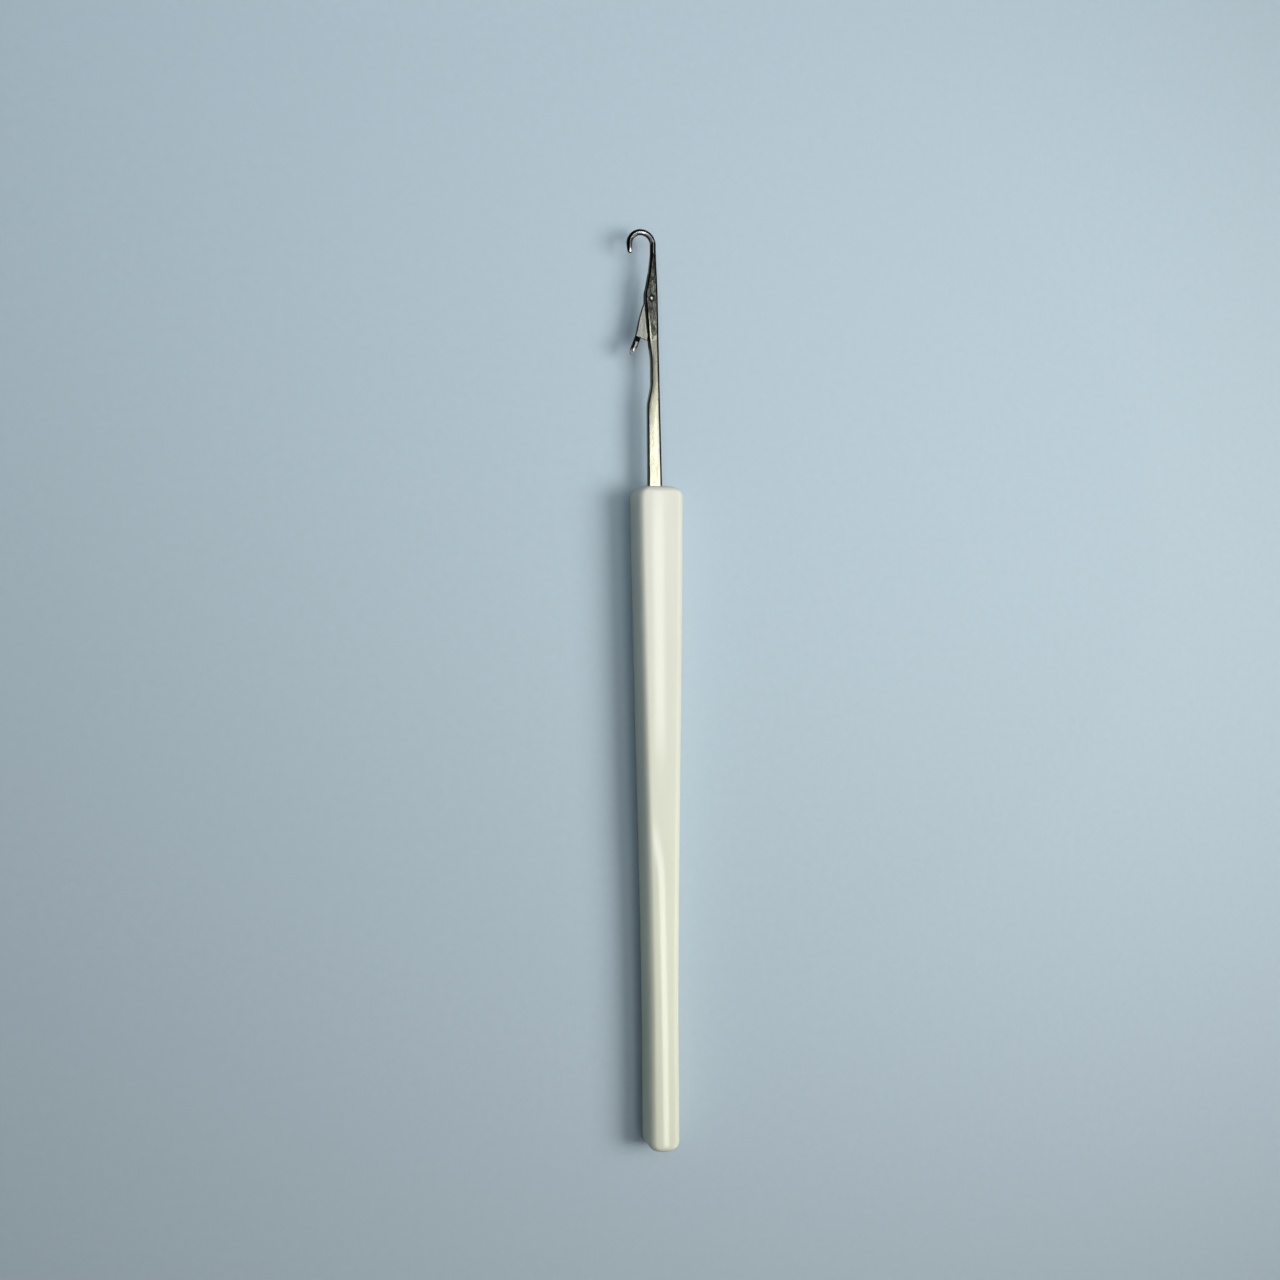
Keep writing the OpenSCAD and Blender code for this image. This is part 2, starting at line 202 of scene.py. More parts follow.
class StageSettings(bpy.types.PropertyGroup):
    """The floor, the lights and the camera."""

    floor_side: length("Floor", "Side of the square floor", 1600.0)
    floor_gap: length("Floor gap", "Between the floor and the underside of the handle", 0.02)
    floor_tint: colour("Floor colour", "Colour of the floor", (0.44, 0.545, 0.625))
    camera_x: length("Camera X", "Place of the camera", -72.15, low=-1000.0)
    camera_y: length("Camera Y", "Place of the camera", 32.0, low=-1000.0)
    camera_z: length("Camera Z", "Place of the camera", 250.0)
    aim_x: length("Aim X", "Point on the table in the middle of the view", -2.15, low=-1000.0)
    aim_y: length("Aim Y", "Point on the table in the middle of the view", 31.1, low=-1000.0)
    field: angle("Field of view", "Angle across the view", 46.97)
    roll: angle("Roll", "Turn of the camera about its line of sight", 0.46)


class LatchToolSettings(bpy.types.PropertyGroup):
    """All the settings of the latch tool."""

    handle: bpy.props.PointerProperty(type=HandleSizes)
    needle: bpy.props.PointerProperty(type=NeedleSizes)
    latch: bpy.props.PointerProperty(type=LatchSizes)
    fit: bpy.props.PointerProperty(type=FitSizes)
    stage: bpy.props.PointerProperty(type=StageSettings)


# Curves and sections

def mix(a, b, t):
    """Value at share t of the way from a to b."""
    return a + (b - a) * t


def quarter(count):
    """Angles spread evenly over a quarter turn."""
    return np.linspace(0.0, np.pi / 2, count)


def round_in(r, d):
    """How far a quarter round of radius r has drawn in, at distance d from the end that it closes."""
    left = np.clip(r - np.asarray(d, float), 0.0, r)
    return r - np.sqrt(r * r - left * left)


def curve(knots, s):
    """Smooth curve through the knots, read at s, which never swings past them.

    Each piece is a cubic whose end slopes are the harmonic means of the chords on both sides of the knot,
    and zero at the ends and wherever the knots turn back.
    """
    x, y = np.array(knots, float).T
    step = np.diff(x)
    chord = np.diff(y) / step
    before, after = chord[:-1], chord[1:]
    same_way = before * after > 0
    inner = np.where(same_way, 2 * before * after / np.where(same_way, before + after, 1.0), 0.0)
    slope = np.concatenate(([0.0], inner, [0.0]))
    s = np.asarray(s, float)
    i = np.clip(np.searchsorted(x, s) - 1, 0, len(step) - 1)
    t = np.clip((s - x[i]) / step[i], 0.0, 1.0)
    u = 1 - t
    rise = slope[i] * step[i] * t * u * u - slope[i + 1] * step[i] * t * t * u
    return y[i] * u * u * (1 + 2 * t) + y[i + 1] * t * t * (1 + 2 * u) + rise


# Points on each rounded corner of a section
CORNER_POINTS = 13


def rounded_rings(a, b, r, flat):
    """Rounded rectangles of half sizes a across and b up, as rings of points, one ring for each section.

    Each of the four corners is a quarter circle of radius r whose ends lie exactly on the flats. flat gives
    the shares of each flat at which more points lie. The result has the shape sections x points x 2.
    """
    sizes = np.broadcast_arrays(*(np.atleast_1d(np.asarray(v, float)) for v in (a, b, r)))
    a, b, r = (v[:, None] for v in sizes)
    r = np.minimum(r, np.minimum(a, b))
    corners = []
    for k, (side_x, side_y) in enumerate(((1, 1), (-1, 1), (-1, -1), (1, -1))):
        turn = quarter(CORNER_POINTS) + k * np.pi / 2
        x = side_x * (a - r) + r * np.cos(turn)
        y = side_y * (b - r) + r * np.sin(turn)
        corners.append(np.stack([x, y], -1))
    shares = np.array(flat, float)[None, :, None]
    parts = []
    for k, corner in enumerate(corners):
        start, end = corner[:, -1:], corners[(k + 1) % 4][:, :1]
        parts += [corner, start + (end - start) * shares]
    return np.concatenate(parts, axis=1)


def carry(at, across, up, rings):
    """Points of flat rings carried along a path.

    at is the place of each section, and across and up are the directions of the rings' two numbers.
    """
    return at[:, None] + rings[..., :1] * across[:, None] + rings[..., 1:] * up[:, None]


def upright(x, y, z, rings):
    """Points of rings that stand across the tool, so that their two numbers run along X and Z."""
    at = np.stack(np.broadcast_arrays(x, y, z), -1)
    return at[:, None] + np.stack([rings[..., 0], 0 * rings[..., 0], rings[..., 1]], -1)


def skin(name, rings, sharp=40.0):
    """Closed mesh over a list of rings of equally many points, with a fan over each end.

    Neighbouring rings are joined by quads. Points that fall together, as at a round tip, are merged.
    """
    n, m = rings.shape[:2]
    i = np.arange(n - 1)[:, None] * m
    j = np.arange(m)[None, :]
    k = (j + 1) % m
    quads = np.stack(np.broadcast_arrays(i + j, i + k, i + m + k, i + m + j), -1).reshape(-1, 4)
    start, end = n * m, n * m + 1
    last = (n - 1) * m
    fans = np.concatenate([
        np.stack([np.full(m, start), k[0], j[0]], -1),
        np.stack([np.full(m, end), last + j[0], last + k[0]], -1),
    ])
    points = np.concatenate([rings.reshape(-1, 3), rings[0].mean(0)[None], rings[-1].mean(0)[None]])
    mesh = bpy.data.meshes.new(name)
    mesh.from_pydata(points.tolist(), [], quads.tolist() + fans.tolist())
    bm = bmesh.new()
    bm.from_mesh(mesh)
    bmesh.ops.remove_doubles(bm, verts=bm.verts, dist=2e-7)
    bmesh.ops.recalc_face_normals(bm, faces=bm.faces)
    bm.to_mesh(mesh)
    bm.free()
    smooth(mesh, sharp)
    piece = bpy.data.objects.new(name, mesh)
    bpy.context.scene.collection.objects.link(piece)
    return piece


def smooth(mesh, sharp):
    """Smooth shading, apart from edges that turn by more than the angle sharp, in degrees."""
    mesh.shade_smooth()
    mesh.set_sharp_from_angle(angle=math.radians(sharp))


def paint(mesh, name, domain, values):
    """Keeps a number for each point or face corner, under the name that a material reads it by."""
    mesh.attributes.new(name, "FLOAT", domain).data.foreach_set("value", values.astype(np.float32))


def paint_flanks(mesh):
    """Keeps how far each face corner leans away from level: 0 on top and underneath, 1 on a side."""
    normals = np.empty(len(mesh.corner_normals) * 3)
    mesh.corner_normals.foreach_get("vector", normals)
    paint(mesh, "flank", "CORNER", np.clip(1.0 - np.abs(normals.reshape(-1, 3)[:, 2]), 0.0, 1.0))


def points_of(mesh):
    """The mesh's points."""
    points = np.empty(len(mesh.vertices) * 3)
    mesh.vertices.foreach_get("co", points)
    return points.reshape(-1, 3)


def cut(piece, tool, sharp):
    """Takes the solid tool out of the piece exactly, and removes the tool."""
    modifier = piece.modifiers.new("Cut", "BOOLEAN")
    modifier.operation = "DIFFERENCE"
    modifier.solver = "EXACT"
    modifier.object = tool
    graph = bpy.context.evaluated_depsgraph_get()
    mesh = bpy.data.meshes.new_from_object(piece.evaluated_get(graph))
    piece.modifiers.clear()
    old, piece.data = piece.data, mesh
    bpy.data.meshes.remove(old)
    old = tool.data
    bpy.data.objects.remove(tool)
    bpy.data.meshes.remove(old)
    mesh.name = piece.name
    smooth(mesh, sharp)


def turned(name, at, profile, steps=64, sharp=40.0):
    """Surface of revolution about the upright axis through at; profile is a list of radius and height."""
    radius, height = np.array(profile, float).T
    turn = np.arange(steps) * 2 * np.pi / steps
    x = at[0] + radius[:, None] * np.cos(turn)
    y = at[1] + radius[:, None] * np.sin(turn)
    z = at[2] + np.broadcast_to(height[:, None], x.shape)
    return skin(name, np.stack([x, y, z], -1), sharp)


def dress(piece, node, material):
    """Gives the piece its material, and lets it stand for the CAD node on the node's body."""
    piece.data.materials.clear()
    piece.data.materials.append(material)
    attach(piece, NODE_BODY[node])
    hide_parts(node)


def places(tool):
    """Places along the needle and the latch, worked out from the settings as the CAD source does."""
    n, latch, fit = tool.needle, tool.latch, tool.fit
    p = SimpleNamespace()
    p.mouth_y = tool.handle.long / 2
    p.axis_z = tool.handle.thick / 2
    p.wire_r = n.wire / 2
    p.beak_r = n.beak_tip / 2
    p.hook_out = n.long - p.wire_r - n.hook_r
    p.throat_out = p.hook_out - n.throat
    p.pivot_out = p.hook_out - latch.pivot_to_hook
    p.pivot = (n.aside - latch.pivot_front, p.mouth_y + p.pivot_out, p.axis_z)
    tip_x = latch.pivot_front + n.throat_x - 2 * n.hook_r + n.beak_lean
    tip_y = latch.pivot_to_hook - n.beak
    tip_far = math.hypot(tip_x, tip_y)
    p.beak_at = math.sqrt(tip_far ** 2 - latch.seat ** 2)
    p.closed_turn = math.atan2(-tip_x, tip_y) + math.asin(latch.seat / tip_far)
    p.latch_long = p.beak_at + latch.cover
    p.heel_at = p.latch_long - latch.spoon
    p.recess_end = p.pivot_out - p.latch_long - n.past_tip
    p.recess_start = p.recess_end - n.recess
    p.step_start = p.recess_start - n.step
    below_pivot = 0.3
    p.cheek_start = p.pivot_out - below_pivot * n.cheek_top
    p.cheek_end = p.pivot_out + (1 - below_pivot) * n.cheek_top
    p.slot_floor = latch.eye_r + fit.latch - latch.pivot_front
    p.slot_half = latch.blade / 2 + fit.latch
    p.slot_start = p.pivot_out - n.slot_low
    p.slot_end = p.pivot_out + n.slot_high
    return p


# Handle

# Shares of each flat of the handle's sections at which points lie
HANDLE_FLAT = (0.02, 0.06, *np.linspace(0.1, 0.9, 22), 0.94, 0.98)
# Middles of the tang's notches, as shares of its length
NOTCHES = (-0.3, -0.65)


def handle_half_width(h, behind):
    """Half the handle's width at a distance behind its mouth: a line mixed with half a cosine wave."""
    t = np.minimum(behind / (h.long - h.even), 1.0)
    return mix(h.wide, h.rear_wide, (t + (1 - np.cos(np.pi * t)) / 2) / 2) / 2


def notch_depth(n, out, gap):
    """Depth of the round notches in the tang, or with a gap the height of the plastic that fills them."""
    r = n.notch_r - gap
    depth = np.zeros_like(out)
    for notch in NOTCHES:
        depth = np.maximum(depth, np.sqrt(np.maximum(r ** 2 - (out - notch * n.tang) ** 2, 0.0)))
    return depth


def tang_stations(n):
    """Places along the tang from its end to the mouth, close together at the notches."""
    turn = np.linspace(-np.pi / 2, np.pi / 2, 19)
    notches = [notch * n.tang + n.notch_r * np.sin(turn) for notch in NOTCHES[::-1]]
    return np.concatenate([*notches, np.linspace(-0.2, -0.02, 6) * n.tang])


def shape_top(h, ring, a, b, behind):
    """Lowers the top of the rings: a slight crown, and a narrow facet left of a soft ridge at the rear.

    The crown grows with the square of the distance from the middle. The facet falls at an even slope from
    its ridge to the left, and widens towards the rear. Both fade to nothing halfway down the walls.
    """
    x, z = ring[..., 0], ring[..., 1]
    a, b, behind = a[:, None], b[:, None], behind[:, None]
    crown = h.crown * (x / h.wide * 2) ** 2
    ridge = curve([(0.50 * h.long, h.front_facet), (h.long, h.facet)], behind) - a
    soft = h.ridge_r * np.logaddexp(0.0, (ridge - x) / h.ridge_r)
    amount = curve([(0.49 * h.long, 0.12), (0.60 * h.long, 1.0), (h.long, 0.9)], behind)
    drop = crown + soft * math.tan(h.facet_tilt) * amount
    return np.stack([x, z - drop * np.clip(z / b, 0.0, 1.0)], -1)


def handle_outside(h):
    """The handle from its rear end to its mouth: rounded rectangles that close with a round at both ends."""
    ends = h.corner_r * (1 - np.cos(quarter(25)))
    body = np.linspace(h.corner_r, h.long - h.corner_r, 130)
    behind = np.concatenate([ends, body[1:-1], h.long - ends[::-1]])[::-1]
    end = np.minimum(behind, h.long - behind)
    thick = mix(h.thick, h.rear_thick, behind / h.long)
    a = handle_half_width(h, behind) - round_in(h.corner_r, end)
    b = thick / 2 - round_in(h.end_r, end)
    edge_r = curve([(0.0, h.edge_r), (0.35 * h.long, h.edge_r), (0.65 * h.long, h.rear_edge_r)], behind)
    ring = shape_top(h, rounded_rings(a, b, edge_r, HANDLE_FLAT), a, b, behind)
    return upright(0.0, h.long / 2 - behind, thick / 2, ring)


def handle_socket(tool, p):
    """The socket from the mouth to the tang's end: the tang's section, grown by the gap.

    Its mouth has a small chamfer, and ribs of the plastic fill the tang's notches.
    """
    n, gap = tool.needle, tool.fit.socket
    chamfer, corner_r = 0.08 * MM, 0.12 * MM
    down = chamfer * np.sin(quarter(6))
    stations = tang_stations(n)[::-1]
    out = np.concatenate([-down, stations, [-n.tang - gap]])
    grow = gap + np.concatenate([chamfer - down, np.zeros(len(stations) + 1)])
    fill = notch_depth(n, out, gap)
    front = n.front + grow - fill
    back = n.back + grow - fill
    ring = rounded_rings((front + back) / 2, n.thick / 2 + grow, corner_r, HANDLE_FLAT)
    return upright(n.aside + (back - front) / 2, p.mouth_y + out, p.axis_z, ring)


def build_handle(tool):
    """The handle: one skin over its outside, its front face and its socket."""
    outside = handle_outside(tool.handle)
    socket = handle_socket(tool, places(tool))
    face = mix(outside[-1:], socket[:1], np.array([0.06, 0.5, 0.94])[:, None, None])
    piece = skin("handle_moulding", np.concatenate([outside, face, socket]))
    paint_flanks(piece.data)
    return piece


# Needle

# Shares of each flat of the needle's sections, and of the slot's depth, at which points lie
SLOT_FLAT = (0.04, 0.35, 0.65, 0.96)
SLOT_WALL = np.array([0.08, 0.35, 0.65, 0.92, 1.0])
# Knots of the front edge below and above the cheeks: share of the way along, share of the cheeks' reach
RISE = ((0.37, 0.39), (0.69, 0.74), (0.84, 0.83))
FALL = ((0.25, 0.65), (0.55, 0.28))


def needle_reaches(tool, p, out):
    """Reaches of the needle from its line: a smooth curve to its front edge, a straight line to its back."""
    n = tool.needle
    wire_front = p.wire_r - n.throat_x
    rise = [(mix(p.recess_end, p.cheek_start, t), mix(n.recess_front, n.cheek_front, u)) for t, u in RISE]
    fall = [(mix(p.cheek_end, p.throat_out, t), mix(wire_front, n.cheek_front, u)) for t, u in FALL]
    front = curve([
        (p.step_start, n.front),
        (p.recess_start, n.recess_front),
        (p.recess_end, n.recess_front),
        *rise,
        (p.cheek_start, n.cheek_front),
        (p.cheek_end, n.cheek_front),
        *fall,
        (p.throat_out, wire_front),
    ], out)
    back = mix(n.back, p.wire_r + n.throat_x, np.maximum(out, 0.0) / p.throat_out)
    return front, back


def needle_along(tool, p, out, stem, cheeks, wire):
    """A size that goes from the stem's to the cheeks' and on to the wire's."""
    n = tool.needle
    return curve([
        (p.pivot_out - n.cheek_low - n.cheek_step, stem),
        (p.pivot_out - n.cheek_low, cheeks),
        (p.pivot_out + tool.latch.head, cheeks),
        (p.throat_out, wire),
    ], out)


def slot_depth(n, p, out, front):
    """Depth of the slot behind the front edge: a straight floor that runs out in a round at each end."""
    r = n.slot_end_r
    near = np.minimum(out - p.slot_start, p.slot_end - out)
    past = np.clip(r - near, 0.0, r)
    floor = p.slot_floor - r + np.sqrt(r * r - past * past)
    return np.where(near > 0, np.maximum(floor + front, 0.0), 0.0)


def slotted_rings(a, b, r, depth, half):
    """Rounded rectangles whose front side, at -a, has a slot of the given depth and half width.

    The points of the front side give way to a bevelled lip, the slot's wall, its floor and the other wall.
    """
    edge = 0.04 * MM
    ring = rounded_rings(a, b, r, SLOT_FLAT)
    cut_at = ring.shape[1] // 4 + CORNER_POINTS
    lip = np.minimum(b - np.minimum(r, b), half + edge)
    wall = np.minimum(b - np.minimum(r, b), half)
    bevel = np.minimum(edge, depth)[:, None]
    bottom = (depth - a)[:, None]
    x = np.concatenate([
        -a[:, None],
        bevel - a[:, None],
        bevel - a[:, None] + (depth[:, None] - bevel) * SLOT_WALL,
    ], axis=1)
    z = np.concatenate([lip[:, None], np.repeat(wall[:, None], len(SLOT_WALL) + 1, axis=1)], axis=1)
    upper = np.stack([x, z], -1)
    floor = np.stack([np.repeat(bottom, 3, axis=1), wall[:, None] * np.array([0.6, 0.0, -0.6])], -1)
    lower = upper[:, ::-1] * np.array([1.0, -1.0])
    rest = ring[:, cut_at + len(SLOT_FLAT):]
    return np.concatenate([ring[:, :cut_at], upper, floor, lower, rest], axis=1)


def needle_stations(n, p):
    """Places along the needle from the tang's end to the throat, closer together where its shape changes."""
    beyond = 0.2 * MM
    return np.unique(np.concatenate([
        -n.tang + n.edge_r * (1 - np.cos(quarter(5)[:-1])),
        tang_stations(n),
        np.linspace(0.0, p.step_start, 24),
        np.linspace(p.step_start, p.throat_out, 190),
        np.linspace(p.slot_start - beyond, p.slot_start + n.slot_end_r, 40),
        np.linspace(p.slot_end - n.slot_end_r, p.slot_end + beyond, 40),
    ]))


def build_needle(tool):
    """The needle: sections carried along the tang, stem, slotted cheeks, bend and beak, and then drilled.

    The bend is half a circle. The beak leans in with the square of the way down, narrows evenly and ends in
    a ball, and its tip is ground to a tilted flat.
    """
    n, p = tool.needle, places(tool)
    out = needle_stations(n, p)
    front, back = needle_reaches(tool, p, out)
    shrink = round_in(n.edge_r, out + n.tang) + notch_depth(n, out, 0.0)
    a = (front + back) / 2 - shrink
    b = needle_along(tool, p, out, n.thick, n.cheek_thick, n.wire) / 2
    r = needle_along(tool, p, out, n.edge_r, n.cheek_edge_r, p.wire_r)
    depth = slot_depth(n, p, out, front)

    turn = np.linspace(0.0, np.pi, 73)[1:]
    cos, sin = np.cos(turn), np.sin(turn)
    tip = n.beak - p.beak_r * (1 - np.sin(quarter(12)[1:]))
    down = np.concatenate([np.linspace(0.0, n.beak - p.beak_r, 14)[1:], tip])
    beak = mix(p.wire_r, p.beak_r, down / n.beak) - round_in(p.beak_r, n.beak - down)
    beak_x = n.throat_x - 2 * n.hook_r + n.beak_lean * (down / n.beak) ** 2
    at = np.concatenate([
        np.stack([(back - front) / 2, out, 0 * out], -1),
        np.stack([n.throat_x - n.hook_r + n.hook_r * cos, p.hook_out + n.hook_r * sin, 0 * turn], -1),
        np.stack([beak_x, p.hook_out - down, 0 * down], -1),
    ])
    across = np.concatenate([
        np.tile([1.0, 0.0, 0.0], (len(out), 1)),
        np.stack([cos, sin, 0 * turn], -1),
        np.tile([-1.0, 0.0, 0.0], (len(down), 1)),
    ])
    up = np.tile([0.0, 0.0, 1.0], (len(across), 1))
    wire = np.concatenate([np.full(len(turn), p.wire_r), np.maximum(beak, 0.0)])
    rings = slotted_rings(
        np.concatenate([a, wire]), np.concatenate([b, wire]), np.concatenate([r, wire]),
        np.concatenate([depth, 0 * wire]), p.slot_half,
    )
    flat = n.flat_up + math.tan(n.flat_tilt) * (n.beak - down)
    rings[-len(down):, :, 1] = np.minimum(rings[-len(down):, :, 1], flat[:, None])
    at += np.array([n.aside, p.mouth_y, p.axis_z])
    piece = skin("needle_hook", carry(at, across, up, rings))
    cut(piece, rivet_drill(tool, p), 40.0)
    paint_flanks(piece.data)
    paint_needle(piece.data, tool, p)
    return piece


def rivet_drill(tool, p):
    """The drill for the rivet's hole: a cone for the countersink of each head, and the shank's cylinder."""
    latch, side, beyond = tool.latch, tool.needle.cheek_thick / 2, 0.2 * MM
    reach = latch.head / 2 + (latch.head - latch.rivet) / 2 / latch.head_sink * beyond
    cone = [(0.0, side + beyond), (reach, side + beyond), (latch.rivet / 2, side - latch.head_sink)]
    return turned("drill", p.pivot, cone + [(radius, -height) for radius, height in cone[::-1]])


def paint_needle(mesh, tool, p):
    """Keeps each point's distance from the needle's front and back edges, in millimetres.

    A third number is the distance inside the middle line of the bend, counted in wire radii, so it runs from
    -1 on the outside of the bend to 1 on its inside.
    """
    n = tool.needle
    x, y = points_of(mesh).T[:2]
    out = y - p.mouth_y
    front, back = needle_reaches(tool, p, out)
    paint(mesh, "behind_front", "POINT", (x - n.aside + front) / MM)
    paint(mesh, "before_back", "POINT", (n.aside + back - x) / MM)
    from_middle = np.hypot(x - n.aside - n.throat_x + n.hook_r, np.maximum(out - p.hook_out, 0.0))
    paint(mesh, "inside_bend", "POINT", (n.hook_r - from_middle) / p.wire_r)


# Rivet

def build_rivet(tool):
    """The rivet: a round shank whose two countersunk heads end in low domes.

    Each dome falls with the square of the radius, and a small slack keeps the rivet clear of its hole.
    """
    latch, p = tool.latch, places(tool)
    side, head_r, rivet_r = tool.needle.cheek_thick / 2, latch.head / 2, latch.rivet / 2
    slack, edge_top, edge_low = 0.012 * MM, 0.005 * MM, 0.03 * MM
    r = np.linspace(0.0, 0.93, 12) * head_r
    dome = np.stack([r, side + latch.head_dome * (1 - (r / head_r) ** 2)], -1)
    rest = np.array([
        [head_r - slack, side - edge_top],
        [head_r - 2 * slack, side - edge_low],
        [rivet_r - slack, side - latch.head_sink],
        [rivet_r - slack, p.slot_half],
    ])
    half = np.concatenate([dome, rest])
    profile = np.concatenate([half, half[::-1] * np.array([1.0, -1.0])])
    piece = turned("pivot_rivet", p.pivot, profile, steps=72, sharp=50.0)
    paint_flanks(piece.data)
    return piece


# Latch

BLADE_EDGE_R = 0.2 * MM


def dish_floor(tool, p, at, z):
    """How far out the spoon may reach at a place along it and across it: the lower side of the hollow.

    The hollow is an ellipsoid joined with a cone that follows the beak and with a ball round the beak's tip.
    The cone's radius depends on the place along the beak, so the two are worked out in turn.
    """
    latch, n, gap = tool.latch, tool.needle, tool.fit.dish
    no_limit = 1.0
    ahead = at - p.beak_at
    inside = 1 - (ahead / (latch.bowl / 2)) ** 2 - (z / (latch.spoon_wide / 2 - latch.wall)) ** 2
    deep = latch.rim + latch.spine - latch.wall
    bowl = np.where(inside > 0, latch.rim - deep * np.sqrt(np.maximum(inside, 0.0)), no_limit)
    ball_r = p.beak_r + gap
    inside = ball_r ** 2 - ahead ** 2 - z ** 2
    ball = np.where(inside > 0, latch.seat - np.sqrt(np.maximum(inside, 0.0)), no_limit)
    sin, cos = math.sin(p.closed_turn), math.cos(p.closed_turn)
    x = np.zeros_like(ahead + z)
    for _ in range(4):
        t = np.clip((x - latch.seat) * sin + ahead * cos, 0.0, n.beak)
        r = mix(ball_r, p.wire_r + gap, t / n.beak)
        aside = -np.sqrt(np.maximum(r * r - z * z, 0.0))
        x = latch.seat + (aside + ahead * sin) / cos
    cone = np.where((z * z < r * r) & (ahead > 0), x, no_limit)
    return np.minimum(np.minimum(bowl, ball), cone)


def blade_sections(latch, p):
    """Sections of the eye and the blade: place, half width, middle, half thickness and edge radius.

    The eye is a half circle. The inner side is a straight line to the heel, whose corner is a quarter
    circle, and the outer side is a smooth curve.
    """
    eye = -latch.eye_r * np.cos(quarter(20))
    heel = p.heel_at - latch.heel_r * (1 - np.sin(quarter(9)))
    at = np.concatenate([eye, np.linspace(0.0, p.heel_at - latch.heel_r, 60)[1:-1], heel])
    line = mix(latch.eye_r, latch.heel_in, np.clip(at / (p.heel_at - latch.heel_r), 0.0, 1.0))
    round_eye = np.sqrt(np.maximum(latch.eye_r ** 2 - np.minimum(at, 0.0) ** 2, 0.0))
    round_heel = latch.heel_in - round_in(latch.heel_r, p.heel_at - at)
    inner = np.where(at < 0, round_eye, np.minimum(line, round_heel))
    outer = np.where(at < 0, round_eye, curve([
        (0.0, latch.eye_r),
        (0.28 * p.heel_at, latch.blade_out),
        (0.6 * p.heel_at, mix(latch.blade_out, latch.rim, 0.3)),
        (p.heel_at, latch.rim),
    ], np.maximum(at, 0.0)))
    half, edge_r = np.full(len(at), latch.blade / 2), np.full(len(at), BLADE_EDGE_R)
    return np.stack([at, (outer + inner) / 2, (outer - inner) / 2, half, edge_r])


def spoon_sections(latch, p):
    """Sections of the spoon, as of the blade: smooth curves along it, and a round tip.

    The knots give shares of the spoon's length, with shares of the rim's and the back's reach.
    """
    tip_r = latch.spoon_wide / 2
    straight = np.linspace(p.heel_at, p.latch_long - tip_r, 60)
    at = np.concatenate([straight, p.latch_long - tip_r * (1 - np.sin(quarter(24)[1:]))])
    s = (at - p.heel_at) / latch.spoon
    rim = latch.rim * curve([(0, 1), (0.3, 0.78), (1, 1)], s)
    back = latch.spine * curve([(0, 1.24), (0.4, 1), (1, 0.8)], s)
    wide = curve([(0, latch.neck), (0.35, latch.spoon_wide)], s) / 2
    left = 1 - round_in(1.0, (p.latch_long - at) / tip_r)
    grow = curve([(0, latch.blade / latch.neck), (0.3 * MM, 1.0)], at - p.heel_at)
    edge_r = 0.8 * np.minimum(rim, wide) * left
    return np.stack([at, (rim + back) / 2 * left, (rim - back) / 2, wide * grow * left, edge_r])


def build_latch(tool):
    """The latch: one skin from its eye over the blade and the heel's step to the spoon with its bowl."""
    latch, p = tool.latch, places(tool)
    at, a, middle, b, r = np.concatenate([blade_sections(latch, p), spoon_sections(latch, p)], axis=1)
    ring = rounded_rings(a, b, r, np.linspace(0.0, 1.0, 26)[1:-1])
    x = middle[:, None] + ring[..., 0]
    at = at[:, None] + 0 * x
    floor = dish_floor(tool, p, at, ring[..., 1])
    x = np.where(x > 0, np.minimum(x, np.maximum(floor, x.min())), x)
    piece = skin("swinging_latch", np.stack([x, at, ring[..., 1]], -1), 45.0)
    hole_r, deep = latch.rivet / 2 + tool.fit.pivot, latch.blade
    hole = [(0.0, deep), (hole_r, deep), (hole_r, -deep), (0.0, -deep)]
    cut(piece, turned("drill", (0.0, 0.0, 0.0), hole), 45.0)
    place_latch(piece.data, tool, p)
    paint_flanks(piece.data)
    return piece


def place_latch(mesh, tool, p):
    """Turns the latch's points from its own frame into the tool's, opened by the latch's angle."""
    x, y, z = points_of(mesh).T
    turn = math.pi - tool.latch.open
    sin, cos = math.sin(turn), math.cos(turn)
    moved = np.stack([p.pivot[0] + x * cos - y * sin, p.pivot[1] + x * sin + y * cos, p.pivot[2] + z], -1)
    mesh.vertices.foreach_set("co", moved.ravel())
    mesh.update()


# Steps of a material

def new_material(name):
    """A material with its nodes, its principled shader and the place that its pattern is read from."""
    material = bpy.data.materials.new(name)
    material.use_nodes = True
    tree = material.node_tree
    shader = tree.nodes["Principled BSDF"]
    where = tree.nodes.new("ShaderNodeTexCoord").outputs["Object"]
    return material, tree, shader, where


def stretched(tree, where, scale):
    """The pattern's place, scaled along each axis."""
    mapping = tree.nodes.new("ShaderNodeMapping")
    mapping.inputs["Scale"].default_value = scale
    tree.links.new(where, mapping.inputs["Vector"])
    return mapping.outputs["Vector"]


def noise(tree, vector, scale, detail=3.0, rough=0.5, distortion=0.0):
    """A noise pattern."""
    node = tree.nodes.new("ShaderNodeTexNoise")
    node.inputs["Scale"].default_value = scale
    node.inputs["Detail"].default_value = detail
    node.inputs["Roughness"].default_value = rough
    node.inputs["Distortion"].default_value = distortion
    tree.links.new(vector, node.inputs["Vector"])
    return node.outputs["Fac"]


def ramp(tree, value, low, high, out_low=0.0, out_high=1.0):
    """The value, spread from low..high to the given limits."""
    node = tree.nodes.new("ShaderNodeMapRange")
    for key, number in (("From Min", low), ("From Max", high), ("To Min", out_low), ("To Max", out_high)):
        node.inputs[key].default_value = number
    tree.links.new(value, node.inputs["Value"])
    return node.outputs["Result"]


def axis_of(tree, where, axis):
    """One coordinate of a place, in metres."""
    node = tree.nodes.new("ShaderNodeSeparateXYZ")
    tree.links.new(where, node.inputs["Vector"])
    return node.outputs[axis]


